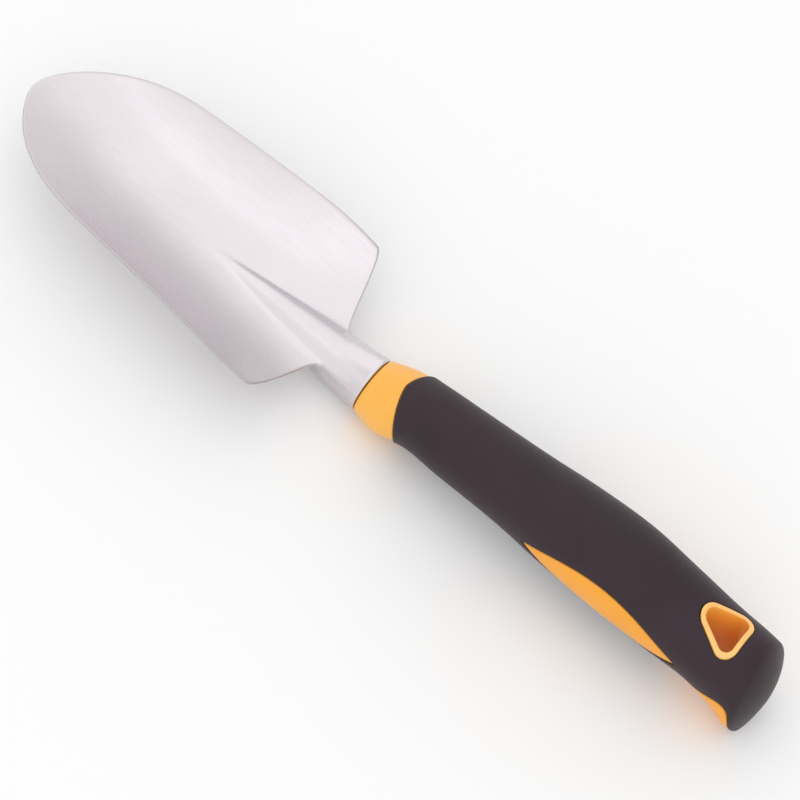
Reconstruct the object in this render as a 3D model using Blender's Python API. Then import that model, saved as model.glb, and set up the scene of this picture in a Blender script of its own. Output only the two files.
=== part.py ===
"""Hand trowel with a cast aluminium blade and a two-colour soft-grip handle.

Frame: +X from the handle towards the blade tip, +Z up out of the scoop, the XZ plane is the
mirror plane. The tool lies on z = 0, on the lower lip of the butt and the underside of the collar.
The pieces are worked out along the straight axis of the neck, in millimetres, and are tilted
onto that surface and turned into metres when a mesh is made.
"""
import bpy
import bmesh
import numpy as np

MM = 0.001                # metres in a millimetre
GAP = 0.3                 # clearance between neighbouring pieces

# whole tool
TIP_X = 158.4             # front of the blade
BUTT_X = -160.8           # back of the handle
AXIS_Z = 14.8             # height of the neck's axis above the butt's lower lip
LIE_ANGLE = 1.7598        # degrees the neck's axis dips towards the blade as the tool lies
LIE_X = 0.5338            # moves that centre the tilted tool on its own box
LIE_Z = -4.7569

# blade plan
NOSE_LENGTH = 52.0        # rounded point, measured back from the tip
NOSE_POWER = 2.55         # how square the nose is along its length
NOSE_RISE = 0.61          # how blunt the very tip is
NOSE_WIDTH = 28.1         # half width the sides would have at the tip
SIDE_TAPER = 0.073        # half width gained for each millimetre back from the tip
TAIL_TURN = 100.0         # distance back from the tip where the sides start to turn in
TAIL_DRAW = 0.00256       # how fast they turn in
TAIL_X0 = 22.5            # back end of the sheet, inside the neck
TAIL_W = 7.6              # its half width there
TAIL_X1 = 35.0            # back corners of the blade

# blade section
FLOOR_Z = 5.0             # scoop floor above the neck axis, at the back
FLOOR_RISE = 15.6         # how much higher the tip is
FLOOR_BACK_X = 22.0
FLOOR_POWER = 2.03
DISH = 0.0129             # height of the walls per square of the distance from the middle
DISH_MID_X = 90.0
DISH_SPAN = 62.0
DISH_FADE = 0.465
PLATE = 1.6               # sheet thickness in the middle
EDGE_THIN = 0.4           # how much thinner the rim is

# neck, rib and tang
NECK_X = 20.0             # narrowest part of the neck
NECK_R = 9.3
NECK_BACK_X = 6.0 + GAP   # at the collar
NECK_BACK_R = 10.6
NECK_BACK_LIFT = 1.2      # axis of the neck's back end above its front end
RIB_TIP_X = 76.0          # the neck runs on as a cone through the sheet and ends inside it
RIB_TIP_R = 0.4
RIB_TIP_LIFT = 7.0
RIB_SPREAD = 0.3          # how much wider than high its section becomes at the rib's end
RIB_ROUND = 1.7           # power of its section there: 2 is an ellipse, 1 a roof with a ridge
TANG_X = -75.0
TANG_W = 6.0              # half width
TANG_H = 4.0              # half height
TANG_Z = 4.2              # above the neck axis
TANG_CORNER = 4.0         # roundness of its section, as a power

# handle: x, half width, middle above the neck axis, half height
STATIONS = (
    (6.0, 11.2, 1.2, 11.2),
    (-4.5, 13.6, 3.0, 13.6),
    (-14.6, 12.7, 6.9, 12.7),
    (-30.0, 13.3, 7.9, 13.3),
    (-57.0, 14.4, 9.7, 14.4),
    (-76.0, 15.9, 10.3, 15.9),
    (-98.0, 16.6, 10.6, 16.6),
    (-118.0, 15.8, 9.0, 15.8),
    (-138.0, 14.9, 7.4, 14.9),
    (-147.0, 15.2, 5.3, 16.6),
    (-154.0, 16.0, 2.4, 17.2),
)
COLLAR_X = 6.0            # front of the collar
STEP = 0.7                # collar surface below the grip's surface
LIP = 1.4                 # grip thickness at its front edge
WALL = 2.6                # grip thickness elsewhere
LIP_RUN = 10.0            # length over which the grip thickens
SCALLOP_X = -5.3          # front edge of the grip on top
SCALLOP = 6.6             # how much further back it is underneath
SCALLOP_END = 115.0       # degrees from the top where the edge stops moving back
SCALLOP_POWER = 1.5
RIM_TOP_X = -151.3        # edge where the domed end starts
RIM_LEAN = 4.4            # how much further back that edge is underneath, each side of its middle
DOME_DROP = 6.0           # how far the end's highest point lies below the section's middle
DOME_FULL = 0.7           # fullness of the dome: sine of the slope at its edge
POCKET_X = -152.0         # end of the space inside the grip
POCKET_ROUND = 3.0

# side inlays
INLAY_X = -98.5
INLAY_HALF = 31.0
INLAY_MID = 94.0          # degrees from the top of the handle to the inlay's middle
INLAY_ANGLE = 28.4        # half height, in degrees about the handle's middle
INLAY_PROUD = 0.35
INLAY_T = 2.25

# hang hole: a rounded triangle pointing at the blade, leaning back towards its lower end
HOLE_TOP_X = -134.0
HOLE_LOW_X = -139.5
HOLE_TOP_Z = 21.8         # above the neck axis
HOLE_LOW_Z = -7.8
HOLE_FRONT = 2.3          # front corner's centre ahead of the middle
HOLE_BACK = 5.0           # back corners' centres behind it
HOLE_SPREAD = 4.3         # and either side
HOLE_R = 4.5              # corner radius outside
HOLE_BLUNT = 0.7          # how much larger the front corner's radius is
EYELET_T = 1.7            # wall of the eyelet
EYELET_PROUD = 0.35

# heel inlay: a saddle on the underside of the butt, round the hang hole's lower end
HEEL_FRONT_X = -128.0
HEEL_BACK_X = -157.0
HEEL_SPREAD = 118.0       # fullness of its half width, in degrees from the underside
HEEL_RISE = 0.65          # how it widens from its front point, as a power
HEEL_CORNER = 10.0        # squareness of its back corners, as a power
HEEL_MID_X = -143.0       # point its rings shrink to
HEEL_R = 15.3             # handle radius there

ALLOY = ("blade_alloy", (0.80, 0.79, 0.80, 1), 0.38, 1.0)
AMBER = ("core_amber", (0.93, 0.48, 0.10, 1), 0.32, 0.0)
INLAY = ("inlay_amber", (0.92, 0.40, 0.03, 1), 0.35, 0.0)
ORANGE = ("eyelet_orange", (0.90, 0.36, 0.08, 1), 0.32, 0.0)
CHARCOAL = ("grip_charcoal", (0.055, 0.048, 0.052, 1), 0.62, 0.0)


def clear():
    """Empty the scene."""
    for item in list(bpy.data.objects):
        bpy.data.objects.remove(item, do_unlink=True)


def material(spec):
    """Principled material from (name, colour, roughness, metallic)."""
    name, colour, rough, metal = spec
    mat = bpy.data.materials.new(name)
    mat.use_nodes = True
    node = mat.node_tree.nodes["Principled BSDF"]
    node.inputs["Base Color"].default_value = colour
    node.inputs["Roughness"].default_value = rough
    node.inputs["Metallic"].default_value = metal
    mat.diffuse_color = colour
    return mat


def lay_down(verts):
    """Tilt points about the Y axis so that the tool lies on z = 0, and turn them into metres."""
    x, y, z = np.asarray(verts).T
    s, c = np.sin(np.radians(LIE_ANGLE)), np.cos(np.radians(LIE_ANGLE))
    return np.column_stack([x * c + z * s + LIE_X, y, z * c - x * s + LIE_Z]) * MM


def make(name, verts, faces, spec=None):
    """Object from millimetre vertices; faces may be any polygons."""
    mesh = bpy.data.meshes.new(name)
    mesh.from_pydata([tuple(v) for v in lay_down(verts)], [], faces)
    mesh.update()
    obj = bpy.data.objects.new(name, mesh)
    bpy.context.scene.collection.objects.link(obj)
    if spec:
        mesh.materials.append(material(spec))
    outward(obj)
    return obj


def outward(obj):
    """Turn all faces outward."""
    bm = bmesh.new()
    bm.from_mesh(obj.data)
    bmesh.ops.recalc_face_normals(bm, faces=bm.faces)
    bm.to_mesh(obj.data)
    bm.free()


def shade(obj, angle=32.0):
    """Smooth shading with edges sharper than the angle kept crisp."""
    bm = bmesh.new()
    bm.from_mesh(obj.data)
    for face in bm.faces:
        face.smooth = True
    for edge in bm.edges:
        sharp = len(edge.link_faces) != 2 or edge.calc_face_angle(0) > np.radians(angle)
        edge.smooth = not sharp
    bm.to_mesh(obj.data)
    bm.free()


def tube(rings, poles=True):
    """Faces joining a list of equal closed rings; the ends are closed to a pole vertex each."""
    rings = [np.asarray(r) for r in rings]
    n = len(rings[0])
    verts = np.vstack(rings)
    j = np.arange(n)
    k = (j + 1) % n
    faces = []
    for i in range(len(rings) - 1):
        a, b = i * n, (i + 1) * n
        faces += np.column_stack([a + j, a + k, b + k, b + j]).tolist()
    if poles:
        first, last = len(verts), len(verts) + 1
        end = (len(rings) - 1) * n
        verts = np.vstack([verts, rings[0].mean(0), rings[-1].mean(0)])
        faces += np.column_stack([k, j, np.full(n, first)]).tolist()
        faces += np.column_stack([end + j, end + k, np.full(n, last)]).tolist()
    return verts, faces


def combine(target, cutter, operation="DIFFERENCE"):
    """Cut the second piece out of the first, or join the two, and delete the second."""
    cutter.hide_render = True
    cutter.display_type = "WIRE"
    mod = target.modifiers.new("combine", "BOOLEAN")
    mod.operation = operation
    mod.solver = "EXACT"
    mod.object = cutter
    graph = bpy.context.evaluated_depsgraph_get()
    mesh = bpy.data.meshes.new_from_object(target.evaluated_get(graph), depsgraph=graph)
    target.modifiers.clear()
    target.data = mesh
    bpy.data.objects.remove(cutter, do_unlink=True)
    tidy(target)


def tidy(obj):
    """Merge points closer than a hundredth of a millimetre and drop empty faces."""
    bm = bmesh.new()
    bm.from_mesh(obj.data)
    bmesh.ops.remove_doubles(bm, verts=bm.verts, dist=0.01 * MM)
    bmesh.ops.dissolve_degenerate(bm, edges=bm.edges, dist=0.005 * MM)
    bmesh.ops.recalc_face_normals(bm, faces=bm.faces)
    bm.to_mesh(obj.data)
    bm.free()


# ---- blade

def floor_z(x):
    """Scoop floor on the centre line."""
    t = np.clip((x - FLOOR_BACK_X) / (TIP_X - FLOOR_BACK_X), 0, 1)
    return FLOOR_Z + FLOOR_RISE * t ** FLOOR_POWER


def dish(x):
    """Wall height per square of the distance from the middle."""
    return DISH * (1 - DISH_FADE * ((x - DISH_MID_X) / DISH_SPAN) ** 2)


def half_width(x):
    """Half width of the sheet at x."""
    d = TIP_X - x
    nose = np.clip(1 - d / NOSE_LENGTH, 0, 1)
    body = NOSE_WIDTH + SIDE_TAPER * d - TAIL_DRAW * np.maximum(d - TAIL_TURN, 0) ** 2
    body = body * (1 - nose ** NOSE_POWER) ** NOSE_RISE
    t = np.clip((x - TAIL_X0) / (TAIL_X1 - TAIL_X0), 0, 1)
    return TAIL_W + (body - TAIL_W) * t * t * (3 - 2 * t)


def plate_ring(x, across):
    """Closed section of the sheet at x: upper side from right to left, then the lower side back."""
    wide = half_width(x)
    y = wide * np.linspace(-1, 1, across)
    top = floor_z(x) + dish(x) * y * y
    thick = PLATE - EDGE_THIN * (y / wide) ** 4
    low = top - thick * np.sqrt(1 + (2 * dish(x) * y) ** 2)
    upper = np.column_stack([np.full(across, x), y, AXIS_Z + top])
    lower = np.column_stack([np.full(across, x), y, AXIS_Z + low])[::-1]
    return np.vstack([upper, lower])


def round_ring(x, lift, radius, n, spread=1.0, power=2.0):
    """Rounded section about the neck's axis: lifted, wider than high by spread, ridged by a power."""
    a = np.linspace(0, 2 * np.pi, n, endpoint=False)
    s, c = np.sin(a), np.cos(a)
    size = radius * (np.abs(s) ** power + np.abs(c) ** power) ** (-1 / power)
    return np.column_stack([np.full(n, x), spread * s * size, AXIS_Z + lift + c * size])


def tang_ring(x, n, scale=1.0, extra=0.0):
    """Rounded rectangular section of the tang."""
    a = np.linspace(0, 2 * np.pi, n, endpoint=False)
    s, c = np.sin(a), np.cos(a)
    size = (np.abs(s) ** TANG_CORNER + np.abs(c) ** TANG_CORNER) ** (-1 / TANG_CORNER) * scale
    y = (TANG_W + extra) * s * size
    z = AXIS_Z + TANG_Z + (TANG_H + extra) * c * size
    return np.column_stack([np.full(n, x), y, z])


def build_blade(across=21, n=32):
    """Scoop, rib, neck and tang as one casting."""
    nose = NOSE_LENGTH * (1 - np.cos(np.linspace(np.pi / 2, 0.05, 13)) ** (2 / NOSE_POWER))
    rows = np.concatenate([
        np.linspace(TAIL_X0, TAIL_X1, 13),
        np.linspace(TAIL_X1, TIP_X - NOSE_LENGTH, 13)[1:-1],
        TIP_X - nose,
    ])
    blade = make("blade", *tube([plate_ring(x, across) for x in rows]), ALLOY)
    rod = [tang_ring(TANG_X, n, 0.7), tang_ring(TANG_X + 1.5, n), tang_ring(-40.0, n),
           tang_ring(NECK_BACK_X, n)]
    for t in np.linspace(1, 0, 6):
        x = NECK_X + (NECK_BACK_X - NECK_X) * t
        rod.append(round_ring(x, NECK_BACK_LIFT * t, NECK_R + (NECK_BACK_R - NECK_R) * t ** 2, n))
    for t in (0.2, 0.4, 0.6, 0.8, 1.0):
        x = NECK_X + (RIB_TIP_X - NECK_X) * t
        radius = NECK_R + (RIB_TIP_R - NECK_R) * t
        power = 2 + (RIB_ROUND - 2) * t
        rod.append(round_ring(x, RIB_TIP_LIFT * t, radius, n, 1 + RIB_SPREAD * t, power))
    combine(blade, make("rod", *tube(rod)), "UNION")
    return blade


# ---- handle

def handle(x):
    """Half width, middle height and half height of the handle at x, by smooth curves."""
    table = np.array(STATIONS)[::-1]
    at, values = table[:, 0], table[:, 1:]
    slopes = np.gradient(values, at, axis=0)
    x = np.clip(np.asarray(x, float), at[0], at[-1])
    i = np.clip(np.searchsorted(at, x) - 1, 0, len(at) - 2)
    h = at[i + 1] - at[i]
    t = ((x - at[i]) / h)[..., None]
    h = h[..., None]
    out = (values[i] * (2 * t ** 3 - 3 * t ** 2 + 1) + slopes[i] * h * (t ** 3 - 2 * t ** 2 + t)
           + values[i + 1] * (3 * t ** 2 - 2 * t ** 3) + slopes[i + 1] * h * (t ** 3 - t ** 2))
    return out[..., 0], out[..., 1], out[..., 2]


def on_handle(x, angle, inset):
    """Point of the handle's surface, moved inward by inset; the angle runs from the top."""
    x = np.broadcast_to(np.asarray(x, float), np.shape(angle))
    a, c, b = handle(x)
    return np.column_stack([x, (a - inset) * np.sin(angle), AXIS_Z + c + (b - inset) * np.cos(angle)])


def front_edge(angle):
    """Front edge of the grip round the handle."""
    turn = np.abs((angle + np.pi) % (2 * np.pi) - np.pi)
    t = np.clip(turn / np.radians(SCALLOP_END), 0, 1)
    return SCALLOP_X - SCALLOP * np.sin(np.pi / 2 * t) ** SCALLOP_POWER


def grip_inset(x, front, gap=0.0):
    """Depth of the grip's inner face below its outer face."""
    t = np.clip((front - x) / LIP_RUN, 0, 1)
    return LIP + (WALL - LIP) * t * t * (3 - 2 * t) + gap


def rim_x(angle):
    """Edge of the domed end."""
    return RIM_TOP_X - RIM_LEAN * (1 - np.cos(angle))


def dome_ring(angle, size):
    """Ring of the domed end, from 1 at its edge to 0 at its point."""
    edge = on_handle(rim_x(angle), angle, 0.0)
    a, c, b = handle(rim_x(angle))
    bulge = (1 - np.sqrt(1 - (DOME_FULL * size) ** 2)) / (1 - np.sqrt(1 - DOME_FULL ** 2))
    x = BUTT_X + (edge[:, 0] - BUTT_X) * bulge
    z = AXIS_Z + c - DOME_DROP * (1 - size) + b * size * np.cos(angle)
    return np.column_stack([x, edge[:, 1] * size, z])


def inner_ring(angle, share, gap):
    """Ring of the grip's inner face, from 0 at the front edge to 1 near the closed end."""
    front = front_edge(angle)
    x = front + (POCKET_X + POCKET_ROUND + gap - front) * share
    return on_handle(x, angle, grip_inset(x, front, gap))


def pocket_end(angle, gap):
    """Last rings of the grip's inner face."""
    side = inner_ring(angle, 1.0, gap)
    middle = side.mean(0)
    rings = []
    for size, reach in ((0.95, 0.75), (0.84, 1.0), (0.4, 1.0)):
        ring = middle + (side - middle) * size
        ring[:, 0] = side[:, 0] - POCKET_ROUND * reach
        rings.append(ring)
    return rings


def around(n=40):
    """Angles round the handle."""
    return np.linspace(0, 2 * np.pi, n, endpoint=False)


def build_grip():
    """Soft sleeve: inner face, front lip, outer face and domed end."""
    angle = around()
    shares = np.concatenate([np.linspace(0, 0.1, 5), np.linspace(0.1, 1, 15)[1:]])
    inner = pocket_end(angle, 0.0)[::-1]
    inner += [inner_ring(angle, s, 0.0) for s in shares[::-1]]
    front, back = front_edge(angle), rim_x(angle)
    outer = []
    for s in np.linspace(0, 1, 27):
        outer.append(on_handle(front + (back - front) * s, angle, 0.0))
    dome = [dome_ring(angle, s) for s in (0.96, 0.88, 0.74, 0.55, 0.3, 0.05)]
    verts, faces = tube(inner + outer + dome)
    return make("grip_sleeve", verts, faces, CHARCOAL)


def build_core():
    """Hard core: tapered collar, groove for the grip's lip and the long body under the grip."""
    angle = around()
    front = front_edge(angle)
    rings = []
    for s in (0.0, 0.25, 0.5, 0.75, 1.0):
        rings.append(on_handle(COLLAR_X + (front + GAP - COLLAR_X) * s, angle, STEP))
    shares = np.concatenate([np.linspace(0, 0.1, 4), np.linspace(0.1, 1, 14)[1:]])
    for s in shares:
        ring = inner_ring(angle, s, GAP)
        if s == 0.0:
            ring = on_handle(front + GAP, angle, LIP + GAP)
        rings.append(ring)
    rings += pocket_end(angle, GAP)
    verts, faces = tube(rings)
    return make("handle_core", verts, faces, AMBER)


def socket_cutter(n=32):
    """Space for the tang."""
    rings = [tang_ring(x, n, 1.0, GAP) for x in (TANG_X - GAP, COLLAR_X + 3)]
    verts, faces = tube(rings)
    return make("socket_cutter", verts, faces)


def inlay_shell(name, side, grow, out, deep, spec=None, along=17, over=7):
    """Pointed-oval patch of the handle's surface between two depths."""
    slope = 2 * handle(INLAY_X)[0] * np.sin(np.radians(INLAY_ANGLE)) / INLAY_HALF
    half = INLAY_HALF + grow * np.sqrt(1 + 1 / slope ** 2)
    u = np.sin(np.linspace(-np.pi / 2, np.pi / 2, along))[1:-1]
    v = np.linspace(-1, 1, over)
    radius = float(handle(INLAY_X)[0])
    spread = (INLAY_ANGLE + np.degrees(grow / radius)) * (1 - u ** 2)
    angle = np.radians(INLAY_MID + spread[:, None] * v)
    x = np.broadcast_to((INLAY_X + half * u)[:, None], angle.shape)
    pillow = (1 - u[:, None] ** 2) * (1 - v ** 2)
    upper = on_handle(x.ravel(), angle.ravel(), -(out * pillow).ravel() if spec else -out)
    lower = on_handle(x.ravel(), angle.ravel(), deep)
    ends = [on_handle([INLAY_X + half * e], np.radians([INLAY_MID]), d)
            for e in (-1, 1) for d in ((0.0 if spec else -out), deep)]
    verts = np.vstack([upper, lower] + ends)
    verts[:, 1] *= side
    rows, cols = angle.shape
    n = rows * cols
    at = np.arange(n).reshape(rows, cols)
    faces = []
    for i in range(rows - 1):
        for j in range(cols - 1):
            quad = [at[i, j], at[i + 1, j], at[i + 1, j + 1], at[i, j + 1]]
            faces += [quad, [q + n for q in quad[::-1]]]
        for j in (0, cols - 1):
            faces.append([at[i, j], at[i + 1, j], at[i + 1, j] + n, at[i, j] + n])
    for row, top, low in ((0, 2 * n, 2 * n + 1), (rows - 1, 2 * n + 2, 2 * n + 3)):
        for j in range(cols - 1):
            faces += [[at[row, j], at[row, j + 1], top], [at[row, j] + n, at[row, j + 1] + n, low]]
        for j in (0, cols - 1):
            faces.append([at[row, j], at[row, j] + n, low, top])
    return make(name, verts, [[int(v) for v in f] for f in faces], spec)


def hole_outline(radius, per_corner=9):
    """Rounded triangle round the hang hole's middle, as offsets in x and y."""
    corners = ((HOLE_FRONT, 0.0, HOLE_BLUNT), (-HOLE_BACK, HOLE_SPREAD, 0), (-HOLE_BACK, -HOLE_SPREAD, 0))
    side = HOLE_FRONT + HOLE_BACK
    tilt = np.degrees(np.arctan2(side, HOLE_SPREAD) + np.arcsin(HOLE_BLUNT / np.hypot(side, HOLE_SPREAD)))
    spans = ((-tilt, tilt), (tilt, 180.0), (180.0, 360.0 - tilt))
    points = []
    for (cx, cy, more), (a0, a1) in zip(corners, spans):
        a = np.radians(np.linspace(a0, a1, per_corner))
        r = radius + more
        points.append(np.column_stack([cx + r * np.cos(a), cy + r * np.sin(a)]))
    return np.vstack(points)


def hole_x(z):
    """Middle of the leaning hang hole at a height above the neck axis."""
    t = (z - HOLE_LOW_Z) / (HOLE_TOP_Z - HOLE_LOW_Z)
    return HOLE_LOW_X + (HOLE_TOP_X - HOLE_LOW_X) * t


def hole_on_surface(outline, sign, proud):
    """Carry an outline along the hole to the handle's upper (+1) or lower (-1) surface."""
    z = np.full(len(outline), HOLE_TOP_Z if sign > 0 else HOLE_LOW_Z)
    for _ in range(12):
        a, c, b = handle(hole_x(z) + outline[:, 0])
        y = np.clip(outline[:, 1] / (a + proud), -0.98, 0.98)
        z = c + sign * (b + proud) * np.sqrt(1 - y ** 2)
    return np.column_stack([hole_x(z) + outline[:, 0], outline[:, 1], AXIS_Z + z])


def build_eyelet():
    """Lining of the hang hole, a little proud of the grip at both ends."""
    edge = 0.5
    outer, middle, inner = (hole_outline(HOLE_R - t) for t in (0.0, edge, EYELET_T))
    rings = [hole_on_surface(outer, 1, 0.0), hole_on_surface(middle, 1, EYELET_PROUD),
             hole_on_surface(inner, 1, 0.0), hole_on_surface(inner, -1, 0.0),
             hole_on_surface(middle, -1, EYELET_PROUD), hole_on_surface(outer, -1, 0.0)]
    rings.append(rings[0])
    verts, faces = tube(rings, poles=False)
    n = len(outer)
    last = 6 * n
    faces = [[v - last if v >= last else v for v in f] for f in faces]
    return make("hang_hole_eyelet", verts[:last], faces, ORANGE)


def hole_cutter():
    """Leaning prism that clears the eyelet."""
    outline = hole_outline(HOLE_R + GAP)
    rings = []
    for z in (-AXIS_Z - 8.0, 40.0):
        rings.append(np.column_stack([hole_x(z) + outline[:, 0], outline[:, 1], np.full(len(outline), AXIS_Z + z)]))
    verts, faces = tube(rings)
    return make("hole_cutter", verts, faces)


def heel_outline(grow, n=20):
    """Heel inlay's outline, flattened: x, and distance round the handle from its underside.

    The half width is a power of the way from the front point to the back, closed at the
    back by a high power, and the outline is then moved outward by grow.
    """
    t = (1 - np.cos(np.linspace(0, np.pi, 400))) / 2
    wide = HEEL_R * np.radians(HEEL_SPREAD) * t ** HEEL_RISE * np.sqrt(1 - t ** HEEL_CORNER)
    x = HEEL_FRONT_X + (HEEL_BACK_X - HEEL_FRONT_X) * t
    run = np.concatenate([[0], np.cumsum(np.hypot(np.diff(x), np.diff(wide)))])
    at = np.linspace(0, run[-1], n + 1)
    half = np.column_stack([np.interp(at, run, x), np.interp(at, run, wide)])
    line = np.vstack([half, half[-2:0:-1] * [1, -1]])
    along = np.roll(line, -1, 0) - np.roll(line, 1, 0)
    out = np.column_stack([along[:, 1], -along[:, 0]]) / np.linalg.norm(along, axis=1)[:, None]
    return line + grow * out


def heel_shell(name, grow, out, deep, spec=None):
    """Patch of the handle's underside between two depths, as rings of its shrunk outline."""
    line, middle = heel_outline(grow), np.array([HEEL_MID_X, 0.0])
    sizes = (0.1, 0.25, 0.4, 0.55, 0.7, 0.85, 1.0)
    rings = []
    for size, depth in [(s, -out) for s in sizes] + [(s, deep) for s in sizes[::-1]]:
        flat = middle + (line - middle) * size
        rings.append(on_handle(flat[:, 0], np.pi + flat[:, 1] / HEEL_R, depth))
    verts, faces = tube(rings)
    return make(name, verts, faces, spec)


def main():
    """Build every piece."""
    clear()
    blade = build_blade()
    core = build_core()
    combine(core, socket_cutter())
    combine(core, hole_cutter())
    grip = build_grip()
    combine(grip, hole_cutter())
    pieces = [blade, core, grip, build_eyelet()]
    for name, side in (("left_inlay", 1), ("right_inlay", -1)):
        combine(grip, inlay_shell("inlay_cutter", side, GAP, 4.0, WALL + 0.15))
        pieces.append(inlay_shell(name, side, 0.0, INLAY_PROUD, INLAY_T, INLAY))
    combine(grip, heel_shell("heel_cutter", GAP, 4.0, WALL + 0.15))
    heel = heel_shell("heel_inlay", 0.0, 0.0, INLAY_T, INLAY)
    combine(heel, hole_cutter())
    pieces.append(heel)
    for piece in pieces:
        shade(piece)


main()
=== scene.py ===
# %% [markdown]
# # A hand trowel, piece by piece
# The tool is a cast aluminium blade in a two-colour handle: a hard amber core that shows as a
# collar, a soft charcoal grip over it, two amber inlays and an orange lining in the hang hole.
# Every shape below is a formula over a grid of two parameters, worked out with whole arrays.

import bpy
import numpy as np
from mathutils import Matrix


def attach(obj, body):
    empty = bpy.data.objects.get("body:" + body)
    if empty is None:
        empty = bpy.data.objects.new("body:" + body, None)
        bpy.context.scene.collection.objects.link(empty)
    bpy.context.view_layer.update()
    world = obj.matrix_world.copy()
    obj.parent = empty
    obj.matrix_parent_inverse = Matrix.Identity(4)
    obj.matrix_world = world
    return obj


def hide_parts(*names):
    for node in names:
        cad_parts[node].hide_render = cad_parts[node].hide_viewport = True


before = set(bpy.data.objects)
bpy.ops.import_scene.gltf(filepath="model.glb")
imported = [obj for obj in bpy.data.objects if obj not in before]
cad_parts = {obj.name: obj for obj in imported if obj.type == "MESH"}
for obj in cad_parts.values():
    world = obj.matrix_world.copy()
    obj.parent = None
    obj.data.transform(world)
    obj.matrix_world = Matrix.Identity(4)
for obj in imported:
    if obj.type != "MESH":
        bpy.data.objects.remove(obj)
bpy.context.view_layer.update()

# %% [markdown]
# ## Two frames
# The tool is easiest to describe along the straight axis of its neck, in millimetres, with that
# axis at height zero. On a table it lies tilted by nearly two degrees, on the butt and the
# underside of the collar. One function carries points from the first frame to the second.

# %% From the drawing frame to the table
AXIS_Z = 14.8
LIE_ANGLE = np.radians(1.7598)
LIE_X, LIE_Z = 0.5338, -4.7569
LIE_SIN, LIE_COS = np.sin(LIE_ANGLE), np.cos(LIE_ANGLE)


def turn(vectors):
    """Directions turned about the Y axis by the angle the tool lies at."""
    x, y, z = np.moveaxis(np.asarray(vectors, float), -1, 0)
    return np.stack([x * LIE_COS + z * LIE_SIN, y, z * LIE_COS - x * LIE_SIN], -1)


def lay_down(points):
    """Points turned like directions, then moved so the tool lies centred on the table; metres."""
    lifted = np.asarray(points, float) + [0, 0, AXIS_Z]
    return (turn(lifted) + [LIE_X, 0, LIE_Z]) * 0.001


def smoothstep(t):
    """3t^2 - 2t^3 between 0 and 1, flat outside."""
    t = np.clip(t, 0, 1)
    return t * t * (3 - 2 * t)


# %% [markdown]
# ## Meshes from arrays
# A closed tube of rings needs only index arithmetic: each cell joins a point to its neighbour on
# the ring and on the next ring. The first and last rings are closed with a fan to their middle.

# %% Mesh helpers
def add_mesh(name, points, faces, smooth=True):
    """Object at the origin whose mesh holds the points, already laid down, and the faces."""
    mesh = bpy.data.meshes.new(name)
    mesh.from_pydata(np.asarray(points).tolist(), [], faces)
    mesh.validate()
    mesh.polygons.foreach_set("use_smooth", np.full(len(mesh.polygons), smooth))
    mesh.update()
    piece = bpy.data.objects.new(name, mesh)
    bpy.context.scene.collection.objects.link(piece)
    print(f"{name}: {len(mesh.vertices)} points, {len(mesh.polygons)} faces")
    return piece


def tube_faces(rings, around, first=0, flip=False):
    """Quads between neighbouring rings; rings run along, points around, the last joins the first."""
    i = np.arange(rings - 1)[:, None] * around + first
    j = np.arange(around)[None, :]
    k = (j + 1) % around
    quads = np.stack([i + j, i + k, i + around + k, i + around + j], -1).reshape(-1, 4)
    return quads[:, ::-1] if flip else quads


def closed_tube(rings, flip=False):
    """Points and faces of a tube of rings (ring, point, xyz) closed by a fan at both ends."""
    count, around = rings.shape[:2]
    points = rings.reshape(-1, 3)
    ends = np.stack([rings[0].mean(0), rings[-1].mean(0)])
    j = np.arange(around)
    k = (j + 1) % around
    total, last = len(points), (count - 1) * around
    fans = [np.stack([k, j, np.full(around, total)], -1),
            np.stack([last + j, last + k, np.full(around, total + 1)], -1)]
    fans = [f[:, ::-1] if flip else f for f in fans]
    faces = tube_faces(count, around, flip=flip).tolist() + sum((f.tolist() for f in fans), [])
    return np.vstack([points, ends]), faces


def loop_faces(rings, around, flip=False):
    """Quads of a tube whose last ring also joins the first."""
    j = np.arange(around)
    k = (j + 1) % around
    last = (rings - 1) * around
    quads = np.vstack([tube_faces(rings, around), np.stack([last + j, last + k, k, j], -1)])
    return (quads[:, ::-1] if flip else quads).tolist()


def put_attribute(piece, name, values):
    """A number on every point, for its material to read."""
    layer = piece.data.attributes.new(name, "FLOAT", "POINT")
    layer.data.foreach_set("value", np.asarray(values, np.float32))


# %% [markdown]
# ## The blade
# The real blade is one casting. A thin dished sheet with a blunt rounded point grows out of a
# round neck, and the neck runs on under and over the sheet as a cone that fades out as the rib.
# Two simple solids describe it: a sheet over a parabola and a tapered rod. A smooth minimum of
# their distances gives one skin with a cast fillet where they meet, which no crease or union
# of two meshes would have.

# %% Blade dimensions
TIP_X, TAIL_X0, TAIL_X1, TAIL_W = 158.4, 22.5, 35.0, 7.6
NOSE_LENGTH, NOSE_POWER, NOSE_RISE, NOSE_WIDTH = 52.0, 2.55, 0.61, 28.1
SIDE_TAPER, TAIL_TURN, TAIL_DRAW = 0.073, 100.0, 0.00256
FLOOR_Z, FLOOR_RISE, FLOOR_BACK_X, FLOOR_POWER = 5.0, 15.6, 22.0, 2.03
DISH, DISH_MID_X, DISH_SPAN, DISH_FADE = 0.0129, 90.0, 62.0, 0.465
PLATE, EDGE_THIN, EDGE_ROUND = 1.6, 0.4, 0.42
NECK_X, NECK_R, NECK_BACK_X, NECK_BACK_R, NECK_BACK_LIFT = 20.0, 9.3, 6.3, 10.6, 1.2
RIB_TIP_X, RIB_TIP_R, RIB_TIP_LIFT, RIB_SPREAD, RIB_ROUND = 76.0, 0.4, 7.0, 0.3, 1.7
RIDGE_R, RIDGE_SOFT = 0.3, 0.05    # how round the ridge of the rib and its flanks are
FILLET_NECK, FILLET_RIB, FILLET_X, FILLET_RUN = 3.0, 1.0, 24.0, 30.0
SHOULDER, RIM_SHADE_WIDE = 0.6, 1.6
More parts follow.
